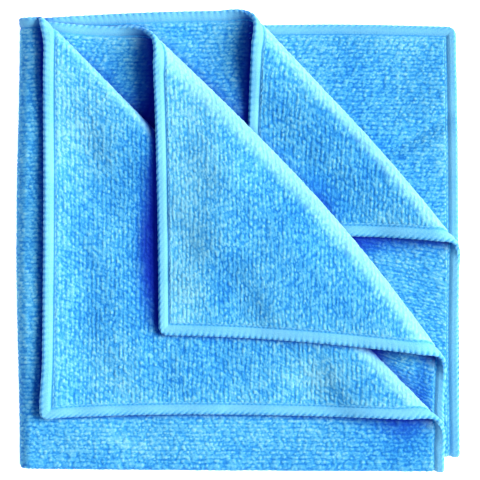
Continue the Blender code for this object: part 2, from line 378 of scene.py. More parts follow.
@dataclass(frozen=True)
class FoldPlan:
    """Where every point of the flat sheet lies in the folded cloth.

    u runs across the flat sheet and v up it, both from the crossing of its two quarter folds. The layers
    are, from the bottom, back (u > 0, v > 0), second (u > 0, v < 0), third (u < 0, v < 0) and front
    (u < 0, v > 0), and TURNED gives the last three quarters' signs with their corners, in that order.
    """

    thickness: float = 1.6 * MM
    width_front: float = 197.5 * MM
    width_back: float = 202.5 * MM
    half_height: float = 201.5 * MM
    corner_radius: float = 4.0 * MM
    layer_step: float = 2.3 * MM
    fold_step: float = 3.2 * MM
    fold_step_reach: float = 30.0 * MM
    full_step_y: float = -95.5 * MM
    left_fold_x: float = -99.4 * MM
    left_fold_bow: float = 1.6 * MM
    covered_left_x: float = 3.0 * MM
    covered_bottom_y: float = 1.0 * MM
    swell: Swell = Swell(0.7 * MM, 46 * MM, 3)
    crease: Crease = Crease((98.5, 58.5), (66.0, 39.0), 1.3 * MM, 5.0 * MM)

    def __post_init__(self) -> None:
        """Fit the curves of the free edges and the bottom fold."""
        u = (-197.5, -100.0, -30.0, 0.0, 40.0, 90.0, 150.0, 202.5)
        v = (-201.5, -130.0, -60.0, 0.0, 60.0, 150.0, 201.5)
        curves = {
            "bottom": TableCurve(u, (-104.4, -103.9, -103.4, -103.0, -102.1, -100.7, -99.2, -97.9)),
            "top_outer": TableCurve(u, (99.9, 100.6, 101.6, 101.0, 99.0, 98.0, 98.5, 97.4)),
            "top_inner": TableCurve(u, (89.6, 94.4, 98.6, 100.4, 103.0, 104.6, 103.5, 101.0)),
            "side_back": TableCurve(v, (108.0, 101.5, 99.6, 100.2, 100.0, 99.4, 98.6)),
            "side_front": TableCurve(v, (100.4, 97.0, 94.0, 92.8, 91.4, 91.6, 94.0)),
        }
        object.__setattr__(self, "curves", curves)

    @property
    def left_centre_x(self) -> float:
        """Give the middle of the left fold's half rounds."""
        return self.left_fold_x + 1.5 * self.fold_step

    @property
    def left_turn(self) -> float:
        """Give half the cloth taken by the left fold."""
        return pi / 2 * 1.5 * self.fold_step

    @property
    def bottom_turn(self) -> float:
        """Give half the cloth taken by the bottom fold."""
        return pi / 2 * 0.5 * self.fold_step

    def step(self, x: Array, y: Array) -> Array:
        """Give the distance from one layer to the next, larger beside the quarter folds.

        Args:
            x: places across.
            y: places up.

        Returns:
            Distances between the layers' middle surfaces.
        """
        near_left = 1 - ease((x - self.left_centre_x) / self.fold_step_reach)
        near_bottom = 1 - ease((y - self.full_step_y) / self.fold_step_reach)
        near_fold = 1 - (1 - near_left) * (1 - near_bottom)
        return self.layer_step + (self.fold_step - self.layer_step) * near_fold

    def back_height(self, x: Array, y: Array) -> Array:
        """Give the back layer's height, with its swell and its crease."""
        return self.thickness / 2 + self.swell(x, y) + self.crease(x, y)

    def climb(self, x: Array, y: Array) -> Array:
        """Give how far the front pair climbs over the second layer's turned corner.

        Args:
            x: places across.
            y: places up.

        Returns:
            Heights.
        """
        lap, settle = TurnedCorner.LAP, TurnedCorner.SETTLE
        over_left = ease(1 + (x - self.covered_left_x + lap) / settle)
        over_bottom = ease(1 + (y - self.covered_bottom_y + lap) / settle)
        return over_left * over_bottom * SECOND_CORNER.loft(x, y, self.step(x, y))

    def height(self, corner: TurnedCorner, x: Array, y: Array) -> Array:
        """Give the height of the layer that a turned corner belongs to.

        Args:
            corner: the turned corner.
            x: places across.
            y: places up.

        Returns:
            Heights of the layer's middle surface.
        """
        step = self.step(x, y)
        height = self.back_height(x, y) + step
        if corner is not SECOND_CORNER:
            height = height + step + self.climb(x, y)
        return height + step if corner is FRONT_CORNER else height

    def loft(self, corner: TurnedCorner, x: Array, y: Array) -> Array:
        """Give a turned corner's height above its layer: the third's climbs over the front layer's.

        Args:
            corner: the turned corner.
            x: places across.
            y: places up.

        Returns:
            Heights above the layer.
        """
        step = self.step(x, y)
        own = corner.loft(x, y, step)
        if corner is not THIRD_CORNER:
            return own
        low = own - corner.waves(x, y)
        over_both = 2 * step + FRONT_CORNER.loft(x, y, step)
        return own + (over_both - low) * FRONT_CORNER.covers(x, y)

    def quarter(self, side: int, half: int, u: Array, v: Array) -> Array:
        """Mark the points of one quarter of the sheet that lie clear of its two quarter folds."""
        return (u * side >= self.left_turn) & (v * half >= self.bottom_turn)

    def round_corners(self, u: Array, v: Array, width: Array) -> tuple[Array, Array]:
        """Draw the sheet's square corners in to a radius.

        Args:
            u: places across the sheet.
            v: places up the sheet.
            width: the sheet's half width on each point's side.

        Returns:
            The drawn-in places.
        """
        radius = self.corner_radius
        p = np.clip((np.abs(u) - width + radius) / radius, 0, 1)
        q = np.clip((np.abs(v) - self.half_height + radius) / radius, 0, 1)
        new_u = u + np.sign(u) * radius * p * (np.sqrt(1 - q * q / 2) - 1)
        new_v = v + np.sign(v) * radius * q * (np.sqrt(1 - p * p / 2) - 1)
        return new_u, new_v

    def quarter_fold(self, u: Array, v: Array) -> tuple[Array, Array, Array]:
        """Fold the sheet in four, its corners not yet turned.

        Args:
            u: places across the sheet.
            v: places up the sheet.

        Returns:
            x, y and z of the sheet's middle surface.
        """
        width = np.where(u > 0, self.width_back, self.width_front)
        u, v = self.round_corners(u, v, width)
        arch = np.sin(pi * np.clip(np.abs(v) / self.half_height, 0, 1)) ** 2
        centre_x = self.left_centre_x - self.left_fold_bow * arch
        centre_y = self.curves["bottom"](u) + 0.5 * self.fold_step
        round_bottom = pi / 2 * np.clip(v / self.bottom_turn, -1, 1)
        round_left = pi / 2 * (1 - np.clip(u / self.left_turn, -1, 1))
        shell = 1 + 0.5 * np.sin(round_bottom)
        side_x = np.where(u > 0, self.curves["side_back"](v), self.curves["side_front"](v))
        top_y = np.where(v > 0, self.curves["top_outer"](u), self.curves["top_inner"](u))
        part_x = np.maximum(np.abs(u) - self.left_turn, 0) / (width - self.left_turn)
        part_y = np.maximum(np.abs(v) - self.bottom_turn, 0) / (self.half_height - self.bottom_turn)
        x = centre_x + part_x * (side_x - centre_x) - shell * self.fold_step * np.sin(round_left)
        y = centre_y + part_y * (top_y - centre_y) - 0.5 * self.fold_step * np.cos(round_bottom)
        z = self.back_height(x, y) + self.step(x, y) * (1.5 - shell * np.cos(round_left))
        return x, y, z + self.climb(x, y) * (u < 0)

    def place(self, u: Array, v: Array) -> Array:
        """Fold the sheet, corners and all.

        Args:
            u: places across the sheet.
            v: places up the sheet.

        Returns:
            Points of the middle surface, with a last axis of three.
        """
        x, y, z = self.quarter_fold(u, v)
        for side, half, corner in TURNED:
            here = self.quarter(side, half, u, v)
            new_x, new_y, angle = corner.fold(x[here], y[here])
            lifted = self.loft(corner, new_x, new_y) * (1 - np.cos(angle)) / 2
            z[here] = self.height(corner, new_x, new_y) + lifted
            x[here] = new_x
            y[here] = new_y
        return np.stack((x, y, z), axis=-1)

    def painted_highlight(self, u: Array, v: Array) -> Array:
        """Give the painted highlight along the outer lines of the turned corners: how near the sheet's points
        lie to them.

        Args:
            u: places across the sheet.
            v: places up the sheet.

        Returns:
            Shares, 1 on a line.
        """
        x, y, _ = self.quarter_fold(u, v)
        found = np.zeros_like(x)
        for side, half, corner in TURNED:
            here = self.quarter(side, half, u, v)
            found[here] = corner.painted_highlight(x[here], y[here])
        return found


class Face(Enum):
    """The two faces of the cloth: the inner one is up on the back layer, the outer one down."""

    INNER = 1
    OUTER = -1


@dataclass(frozen=True)
class PaintedLightPatch:
    """A patch painted paler or deeper than the rest: painted light and shade, among them painted shadows
    beside the hems.

    x, y, wide and tall give its place and size, in millimetres. paler is below 0 where the patch is painted
    deeper, and lift is below 0 where the patch gets more painted shade than the sheet's own shape gives.
    """

    x: float
    y: float
    wide: float
    tall: float
    paler: float
    lift: float = 0.0

    def __call__(self, points: Array) -> Array:
        """Give how far each point is in the patch: 1 at its middle, falling to 0 outside it."""
        off = (points[:, :2] / MM - (self.x, self.y)) / (self.wide, self.tall)
        return np.exp(-(off**2).sum(axis=1))


@dataclass(frozen=True)
class Patch:
    """One or two quarters of one face, whose loops make one piece."""

    name: str
    face: Face
    quarters: tuple[tuple[int, int], ...]
    light_patches: tuple[PaintedLightPatch, ...] = ()


# Painted light and shade patches for each piece of loops; the long narrow deep ones beside hems are painted
# shadows.
BACK_LIGHT_PATCHES = (
    PaintedLightPatch(x=84, y=56, wide=14, tall=9, paler=0.10), PaintedLightPatch(x=64, y=42, wide=10, tall=8, paler=-0.12),
    PaintedLightPatch(x=70, y=84, wide=16, tall=10, paler=0.10), PaintedLightPatch(x=28, y=80, wide=12, tall=9, paler=0.08),
)
SECOND_LIGHT_PATCHES = (
    PaintedLightPatch(x=54, y=-2, wide=15, tall=4, paler=-0.3, lift=-0.15), PaintedLightPatch(x=78, y=-22, wide=8, tall=12, paler=0.12),
    PaintedLightPatch(x=1, y=87, wide=8, tall=20, paler=0.05, lift=0.2), PaintedLightPatch(x=-22, y=88, wide=14, tall=8, paler=0.12),
    PaintedLightPatch(x=86, y=-60, wide=10, tall=30, paler=-0.05),
)
SECOND_CORNER_LIGHT_PATCHES = (
    PaintedLightPatch(x=38, y=17, wide=10, tall=12, paler=-0.3, lift=-0.12), PaintedLightPatch(x=30, y=72, wide=10, tall=12, paler=0.10),
)
THIRD_LIGHT_PATCHES = (
    PaintedLightPatch(x=66, y=-69, wide=11, tall=7, paler=-0.2, lift=-0.1),
    PaintedLightPatch(x=85, y=-74, wide=6, tall=15, paler=-0.25, lift=-0.16),
    PaintedLightPatch(x=76, y=-54, wide=12, tall=6, paler=0.1, lift=0.22),
    PaintedLightPatch(x=-47, y=77, wide=10, tall=19, paler=0.05, lift=0.24),
    PaintedLightPatch(x=-58, y=66, wide=8, tall=9, paler=-0.15),
)
FRONT_LIGHT_PATCHES = (
    PaintedLightPatch(x=-45, y=-89, wide=46, tall=11, paler=0.20), PaintedLightPatch(x=-99, y=-20, wide=6, tall=70, paler=0.14),
    PaintedLightPatch(x=76, y=-88, wide=13, tall=8, paler=-0.25, lift=-0.18), PaintedLightPatch(x=30, y=-90, wide=18, tall=8, paler=0.12),
    PaintedLightPatch(x=-91, y=0, wide=3.5, tall=90, paler=0.0, lift=0.14),
)
THIRD_CORNER_LIGHT_PATCHES = (
    PaintedLightPatch(x=-20, y=30, wide=14, tall=42, paler=0.26), PaintedLightPatch(x=-26, y=-26, wide=10, tall=14, paler=0.24),
    PaintedLightPatch(x=-6, y=-20, wide=10, tall=9, paler=-0.10), PaintedLightPatch(x=8, y=-14, wide=9, tall=7, paler=0.14),
    PaintedLightPatch(x=-22, y=-4, wide=12, tall=24, paler=0.16), PaintedLightPatch(x=33, y=-20, wide=8, tall=10, paler=-0.06),
    PaintedLightPatch(x=-28, y=62, wide=9, tall=14, paler=0.10),
)
FRONT_CORNER_LIGHT_PATCHES = (
    PaintedLightPatch(x=-70, y=58, wide=18, tall=24, paler=0.30), PaintedLightPatch(x=-60, y=-54, wide=24, tall=15, paler=0.20),
    PaintedLightPatch(x=37, y=-62, wide=15, tall=9, paler=0.42), PaintedLightPatch(x=48, y=-66, wide=14, tall=4, paler=-0.10),
    PaintedLightPatch(x=-41, y=-8, wide=6.5, tall=34, paler=-0.3, lift=-0.34),
    PaintedLightPatch(x=-40, y=30, wide=5, tall=18, paler=-0.1, lift=-0.1), PaintedLightPatch(x=-64, y=-30, wide=10, tall=10, paler=0.08),
)

PATCHES = (
    Patch("pile_back", Face.INNER, ((1, 1),), BACK_LIGHT_PATCHES),
    Patch("pile_second_corner", Face.INNER, ((1, -1),), SECOND_CORNER_LIGHT_PATCHES),
    Patch("pile_third", Face.INNER, ((-1, -1),), THIRD_LIGHT_PATCHES),
    Patch("pile_front_corner", Face.INNER, ((-1, 1),), FRONT_CORNER_LIGHT_PATCHES),
    Patch("pile_second", Face.OUTER, ((1, -1),), SECOND_LIGHT_PATCHES),
    Patch("pile_third_corner", Face.OUTER, ((-1, -1),), THIRD_CORNER_LIGHT_PATCHES),
    Patch("pile_front", Face.OUTER, ((-1, 1), (1, 1)), FRONT_LIGHT_PATCHES),
)


class MeshMaker:
    """Turns arrays of points into finished mesh objects."""

    @staticmethod
    def make(
        name: str, points: Array, faces: Array, flat: Array, facts: dict[str, Array]
    ) -> bpy.types.Object:
        """Make an object.

        Args:
            name: the piece's name.
            points: its points.
            faces: four point numbers a face.
            flat: each point's place in the bake map, 0..1.
            facts: named numbers carried by the points, for the finishes to read.

        Returns:
            The new object, linked to the scene.
        """
        mesh = bpy.data.meshes.new(name)
        mesh.from_pydata(points, [], faces)
        layer = mesh.uv_layers.new(name="OFBake")
        corners = np.empty(len(mesh.loops), dtype=np.int32)
        mesh.loops.foreach_get("vertex_index", corners)
        layer.data.foreach_set("uv", flat[corners].astype(np.float32).ravel())
        for fact, values in facts.items():
            kind, slot = ("FLOAT", "value") if values.ndim == 1 else ("FLOAT_VECTOR", "vector")
            store = mesh.attributes.new(fact, kind, "POINT")
            store.data.foreach_set(slot, values.astype(np.float32).ravel())
        mesh.shade_smooth()
        mesh.update()
        obj = bpy.data.objects.new(name, mesh)
        bpy.context.scene.collection.objects.link(obj)
        return obj

    @staticmethod
    def normals(points: Array) -> Array:
        """Give the normals of a grid of points, from its neighbours.

        Args:
            points: a grid of points, u along the first axis and v along the second.

        Returns:
            Unit normals on the inner face's side.
        """
        across = np.gradient(points, axis=0)
        up = np.gradient(points, axis=1)
        normal = np.cross(across, up)
        return normal / np.maximum(np.linalg.norm(normal, axis=-1, keepdims=True), 1e-12)


@dataclass
class Sheet:
    """The thin folded sheet that stands for the whole cloth.

    Its half thickness falls to edge_half at the edge, over edge_taper. Its two faces lie side by side in the
    bake map, each map_width wide, and the second starts at map_second.
    """

    plan: FoldPlan
    half_thickness: float = 0.5 * MM
    edge_half: float = 0.3 * MM
    edge_taper: float = 8.0 * MM
    map_width: float = 0.49
    map_second: float = 0.51
    cell: float = 2.6 * MM
    inset: float = 0.7 * MM
    left_cells: int = 18
    bottom_cells: int = 10
    shift: Array = field(default_factory=lambda: np.zeros(3))

    def lines(self, low: float, high: float, turn: float, cells: int) -> Array:
        """Give the sheet's grid lines, closer together in a fold.

        Args:
            low: the sheet's low edge.
            high: its high edge.
            turn: half the cloth that the fold takes.
            cells: how many cells the fold has.

        Returns:
            Line places in order.
        """
        before = np.linspace(low, -turn, int((-turn - low) / self.cell) + 1)
        across = np.linspace(-turn, turn, cells + 1)
        after = np.linspace(turn, high, int((high - turn) / self.cell) + 1)
        return np.concatenate((before, across[1:-1], after))

    def grid(self) -> None:
        """Lay out the sheet's grid and fold it, and find the shift that sets it on the CAD solid's box."""
        plan = self.plan
        low, high = -plan.width_front + self.inset, plan.width_back - self.inset
        tall = plan.half_height - self.inset
        self.us = self.lines(low, high, plan.left_turn, self.left_cells)
        self.vs = self.lines(-tall, tall, plan.bottom_turn, self.bottom_cells)
        u, v = np.meshgrid(self.us, self.vs, indexing="ij")
        self.middle = plan.place(u, v)
        self.normal = MeshMaker.normals(self.middle)
        half = plan.thickness / 2
        both = np.stack((self.middle + half * self.normal, self.middle - half * self.normal))
        solid_low, solid_high = (np.array(corner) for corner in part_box("cloth"))
        low_point, high_point = both.min(axis=(0, 1, 2)), both.max(axis=(0, 1, 2))
        self.shift = (solid_low + solid_high) / 2 - (low_point + high_point) / 2
        self.shift[2] = solid_low[2] - low_point[2]

    def build(self) -> bpy.types.Object:
        """Make the closed two-sided sheet.

        Returns:
            The sheet's object.
        """
        rows, columns = len(self.us), len(self.vs)
        count = rows * columns
        number = np.arange(count).reshape(rows, columns)
        a, b, c, d = number[:-1, :-1], number[1:, :-1], number[1:, 1:], number[:-1, 1:]
        inner = np.stack((a, b, c, d), axis=-1).reshape(-1, 4)
        rim = np.concatenate((number[:-1, 0], number[-1, :-1], number[:0:-1, -1], number[0, :0:-1]))
        after = np.roll(rim, -1)
        sides = np.stack((rim, rim + count, after + count, after), axis=-1)
        faces = np.concatenate((inner, inner[:, ::-1] + count, sides))
        u, v = np.meshgrid(self.us, self.vs, indexing="ij")
        from_edge = np.minimum.reduce((u - self.us[0], self.us[-1] - u, v - self.vs[0], self.vs[-1] - v))
        half = self.edge_half + (self.half_thickness - self.edge_half) * ease(from_edge / self.edge_taper)
        points = np.concatenate([
            (self.middle + side * half[..., None] * self.normal).reshape(-1, 3) for side in (1, -1)
        ]) + self.shift
        part_u = (u - self.us[0]) / (self.us[-1] - self.us[0])
        part_v = (v - self.vs[0]) / (self.vs[-1] - self.vs[0])
        flat = np.concatenate([
            np.stack((start + self.map_width * part_u, part_v), axis=-1).reshape(-1, 2)
            for start in (0.0, self.map_second)
        ])
        place = np.tile(np.stack((u, v, 0 * u), axis=-1).reshape(-1, 3), (2, 1))
        return MeshMaker.make("cloth_sheet", points, faces, flat, {"cloth_place": place})


class Openness:
    """How open to the room one face of the sheet lies, cell by cell."""

    SHOWN: ClassVar[float] = 0.08

    def __init__(self, sheet: Sheet, values: Array) -> None:
        """Keep the cells' values.

        Args:
            sheet: the sheet that the cells are of.
            values: 0 for a cell that is shut in, up to 1 for one that lies open.
        """
        self.centre_u = (sheet.us[:-1] + sheet.us[1:]) / 2
        self.centre_v = (sheet.vs[:-1] + sheet.vs[1:]) / 2
        self.values = values

    def at(self, u: Array, v: Array) -> Array:
        """Read the openness between the cells' centres.

        Args:
            u: places across the sheet.
            v: places up the sheet.

        Returns:
            Shares, 0..1.
        """
        rows, columns = self.values.shape
        i = np.interp(u, self.centre_u, np.arange(rows))
        j = np.interp(v, self.centre_v, np.arange(columns))
        i0 = np.minimum(i.astype(int), rows - 2)
        j0 = np.minimum(j.astype(int), columns - 2)
        p, q = i - i0, j - j0
        low = self.values[i0, j0] * (1 - q) + self.values[i0, j0 + 1] * q
        high = self.values[i0 + 1, j0] * (1 - q) + self.values[i0 + 1, j0 + 1] * q
        return low * (1 - p) + high * p

    def shown(self, us: Array, vs: Array) -> Array:
        """Mark a finer grid's cells that can be seen from above the floor.

        Args:
            us: the finer grid's lines across the sheet.
            vs: its lines up the sheet.

        Returns:
            True for each fine cell in view or beside one.
        """
        wide = np.pad(self.values > self.SHOWN, 1)
        seen = wide[1:-1, 1:-1] | wide[:-2, 1:-1] | wide[2:, 1:-1] | wide[1:-1, :-2] | wide[1:-1, 2:]
        rows, columns = self.values.shape
        i = np.interp((us[:-1] + us[1:]) / 2, self.centre_u, np.arange(rows))
        j = np.interp((vs[:-1] + vs[1:]) / 2, self.centre_v, np.arange(columns))
        return seen[np.ix_(np.rint(i).astype(int), np.rint(j).astype(int))]


@dataclass
class Visibility:
    """Finds how open the cells of the sheet's two faces lie, most of all towards the key light, for the
    painted shade and for which cells show.

    lift is how far off the sheet it looks from, rings are the elevations looked at with their weights, lean
    is how much more the key light's side counts, and far is how far it looks.
    """

    sheet: Sheet
    solid: bpy.types.Object
    lift: float = 0.95 * MM
    rings: tuple[tuple[float, float], ...] = (
        (4, 1.0), (14, 1.0), (25, 1.0), (38, 1.0), (54, 0.8), (70, 0.6),
    )
    azimuths: int = 10
    up_weight: float = 3.0
    lean: float = 0.92
    far: float = 0.4

    def directions(self) -> list[tuple[Vector, float]]:
        """Give the directions looked from.

        Returns:
            Unit vectors with their weights, straight up first.
        """
        found = [(Vector((0, 0, 1)), self.up_weight)]
        for elevation, weight in self.rings:
            for k in range(self.azimuths):
                turn = 2 * pi * (k + 0.5) / self.azimuths
                tilt = radians(elevation)
                way = Vector((cos(turn) * cos(tilt), sin(turn) * cos(tilt), sin(tilt)))
                found.append((way, weight * (1 + self.lean * cos(turn))))
        return found

    def look(self, face: Face) -> Openness:
        """Find one face's openness.

        Args:
            face: the face looked at.

        Returns:
            The face's openness.
        """
        mesh = self.solid.data
        tree = BVHTree.FromPolygons([v.co for v in mesh.vertices], [p.vertices[:] for p in mesh.polygons])
        points = self.sheet.middle + self.sheet.shift + face.value * self.lift * self.sheet.normal
        centres = (points[:-1, :-1] + points[1:, :-1] + points[1:, 1:] + points[:-1, 1:]) / 4
        values = np.zeros(centres.shape[:2])
        ways = self.directions()
        whole = sum(weight for _, weight in ways)
        for i, j in np.ndindex(values.shape):
            start = Vector(centres[i, j])
            if start.z > 0:
                free = sum(weight for way, weight in ways if tree.ray_cast(start, way, self.far)[0] is None)
                values[i, j] = free / whole
        return Openness(self.sheet, values)


@dataclass
class Loops:
    """The ribs of loops that make the pile: how high it stands at any place of the flat sheet.

    rib and loop are the pitches across and along the ribs. aside and along are how far the loops stand off
    their places, in pitches. Stray loops, lower and smaller, stand between the ribs.
    """

    seed: int
    rib: float = 1.96 * MM
    loop: float = 1.4 * MM
    half_long: float = 0.98 * MM
    half_wide: float = 0.80 * MM
    wander: float = 0.5 * MM
    long_wave: float = 17 * MM
    short_wave: float = 6 * MM
    thick_wave: float = 12 * MM
    thickness: tuple[float, float] = (0.93, 1.07)
    aside_spread: float = 0.09
    along_spread: float = 0.2
    sizes: tuple[float, float] = (0.7, 1.15)
    usual_height: float = 0.74
    height_spread: float = 0.2
    least_height: float = 0.2
    stray_share: float = 0.55
    stray_heights: tuple[float, float] = (0.35, 0.8)
    stray_size: float = 0.72
    stray_shift: float = 0.6 * MM
    table: int = 256

    def __post_init__(self) -> None:
        """Draw each loop's own size, place and height."""
        draw = np.random.default_rng(self.seed)
        shape = (self.table, self.table)
        self.row_shift = draw.random(self.table)
        self.aside = draw.normal(0, self.aside_spread, shape)
        self.along = draw.normal(0, self.along_spread, shape)
        self.size = draw.uniform(*self.sizes, shape)
        tall = draw.normal(self.usual_height, self.height_spread, shape)
        self.tall = np.clip(tall, self.least_height, 1.0)
        self.shade = draw.normal(0, 1, shape)
        stray = draw.random(shape) < self.stray_share
        self.stray = np.where(stray, draw.uniform(*self.stray_heights, shape), 0.0)
        self.drift = Swell(1.5 * self.wander, self.long_wave, self.seed + 1)
        self.short_drift = Swell(0.5 * self.wander, self.short_wave, self.seed + 2)
        self.thick = Swell(1.0, self.thick_wave, self.seed + 3)

    def domes(self, u: Array, row: Array, tall: Array, size: Array) -> tuple[Array, Array]:
        """Give the height of the highest loop over each place, among the loops of one kind.

        Args:
            u: places across the sheet.
            row: places counted in ribs.
            tall: the loops' heights.
            size: how large the loops are there.

        Returns:
            The height, and that loop's own shade.
        """
        best = np.zeros_like(u)
        shade = np.zeros_like(u)
        for row_step in (-1, 0, 1):
            r = np.floor(row) + row_step
            ri = r.astype(int) % self.table
            column = u / self.loop + self.row_shift[ri]
            for column_step in (-1, 0, 1):
                c = np.floor(column) + column_step
                ci = c.astype(int) % self.table
                own = self.size[ri, ci] * size
                du = (column - c - 0.5 - self.along[ri, ci]) * self.loop / (self.half_long * own)
                dv = (row - r - 0.5 - self.aside[ri, ci]) * self.rib / (self.half_wide * own)
                dome = tall[ri, ci] * np.sqrt(np.clip(1 - du**2 - dv**2, 0, 1))
                shade = np.where(dome > best, self.shade[ri, ci], shade)
                best = np.maximum(best, dome)
        return best, shade

    def height(self, u: Array, v: Array) -> tuple[Array, Array]:
        """Give the pile's height.

        Args:
            u: places across the sheet.
            v: places up the sheet.

        Returns:
            0 in the gaps between the loops, up to 1 on their tips, and each loop's own shade.
        """
        row = (v + self.drift(u, v) + self.short_drift(u, v)) / self.rib
        thin, full = self.thickness
        thick = thin + (full - thin) * self.thick(u, v)
        high, shade = self.domes(u, row, self.tall, thick)
        low, low_shade = self.domes(u + self.stray_shift, row + 0.5, self.stray, self.stray_size * thick)
        return np.maximum(high, low), np.where(high > low, shade, low_shade)


@dataclass
class Pile:
    """The skins of loops on the faces that show.

    ground is the skin's height in the gaps between the loops, tall the loops' own, and tuck its height round
    its rim. drawn_up is how much paler the loops are beside the hem, fading over hem_fade. The backs of the
    quarter folds get at least fold_open openness, fading over fold_back, so that little painted shade falls
    there.
    """

    sheet: Sheet
    cell_u: float = 0.46 * MM
    cell_v: float = 0.41 * MM
    ground: float = 0.6 * MM
    tall: float = 0.36 * MM
    tuck: float = 0.3 * MM
    hem_gap: float = 5.3 * MM
    drawn_up: float = 0.2
    hem_fade: float = 4.0 * MM
    fold_open: float = 0.8
    fold_back: float = 8.0 * MM

    def grid(self) -> None:
        """Lay out the fine grid and fold it."""
        plan = self.sheet.plan
        self.us = np.arange(-plan.width_front + self.hem_gap, plan.width_back - self.hem_gap, self.cell_u)
        tall = plan.half_height - self.hem_gap
        self.vs = np.arange(-tall, tall, self.cell_v)
        self.u, self.v = np.meshgrid(self.us, self.vs, indexing="ij")
        self.middle = plan.place(self.u, self.v)
        self.normal = MeshMaker.normals(self.middle)
        self.middle += self.sheet.shift
        # painted highlight along the outer lines of the turned corners
        self.painted_highlight = plan.painted_highlight(self.u, self.v)

    def drawn(self, u: Array, v: Array) -> Array:
        """Give how much paler the loops are beside the hem, where the overlock draws them up.

        Args:
            u: places across the sheet.
            v: places up the sheet.

        Returns:
            Amounts, 0 away from the hem.
        """
        plan = self.sheet.plan
        width = np.where(u > 0, plan.width_back, plan.width_front)
        from_hem = np.minimum(width - np.abs(u), plan.half_height - np.abs(v)) - self.hem_gap
        return self.drawn_up * np.exp(-from_hem / self.hem_fade)

    def opened(self, u: Array, v: Array, share: Array) -> Array:
        """Raise the openness on the backs of the quarter folds, which stand free at the cloth's sides, so
        that little painted shade falls there.
        """
        near = np.maximum(np.exp(-((u / self.fold_back) ** 2)), np.exp(-((v / self.fold_back) ** 2)))
        return share + near * np.maximum(self.fold_open - share, 0)

    def faces(self, patch: Patch, shown: Array) -> tuple[Array, Array]:
        """Pick one patch's cells.

        Args:
            patch: which part of which face.
            shown: True for each cell of the face that shows.

        Returns:
            The fine grid's points that it uses, and its faces, as places in that list of points.
        """
        middle_u = (self.us[:-1] + self.us[1:]) / 2
        middle_v = (self.vs[:-1] + self.vs[1:]) / 2
        own = np.zeros_like(shown)
        for side, half in patch.quarters:
            own |= (middle_u[:, None] * side > 0) & (middle_v * half > 0)
        number = np.arange(self.u.size).reshape(self.u.shape)
        i, j = np.nonzero(own & shown)
        faces = np.stack((number[i, j], number[i + 1, j], number[i + 1, j + 1], number[i, j + 1]), axis=-1)
        if patch.face is Face.OUTER:
            faces = faces[:, ::-1]
        used, faces = np.unique(faces, return_inverse=True)
        return used, faces.reshape(-1, 4)

    def build(self, patch: Patch, openness: Openness, loops: Loops) -> bpy.types.Object:
        """Make one patch's skin.

        Args:
            patch: which part of which face.
            openness: how open that face lies.
            loops: that face's loops.

        Returns:
            The skin's object.
        """
        shown = openness.shown(self.us, self.vs)
        wide = np.pad(shown, 1)
        whole = wide[:-1, :-1] & wide[1:, :-1] & wide[:-1, 1:] & wide[1:, 1:]
        used, faces = self.faces(patch, shown)
        u, v = self.u.ravel()[used], self.v.ravel()[used]
        depth, shade = loops.height(u, v)
        height = np.where(whole.ravel()[used], self.ground + self.tall * depth, self.tuck)
        normal = self.normal.reshape(-1, 3)[used]
        points = self.middle.reshape(-1, 3)[used] + patch.face.value * height[:, None] * normal
        points[:, 2] = np.maximum(points[:, 2], FLOOR_GAP)
        flat = np.stack(((u - u.min()) / np.ptp(u), (v - v.min()) / np.ptp(v)), axis=-1)
        none = np.zeros(len(u))
        # Painted light and shade patches: paler adds painted light or shade to the tone, lift moves the
        # openness that sets the painted shade.
        paler = sum((tone_shift.paler * tone_shift(points) for tone_shift in patch.light_patches), none)
        lift = sum((tone_shift.lift * tone_shift(points) for tone_shift in patch.light_patches), none)
        facts = {
            "depth": depth,
            "shade": shade,
            # painted highlight along the turned folds
            "painted_highlight": self.painted_highlight.ravel()[used],
            # openness that sets the painted shade
            "open": self.opened(u, v, openness.at(u, v) + lift),
            # painted light and shade of the patches, with the paler loops beside the hem
            "tone_shift": paler + self.drawn(u, v),
            "cloth_place": np.stack((u, v, 0 * u), axis=-1),
        }
        return MeshMaker.make(patch.name, points, faces, flat, facts)


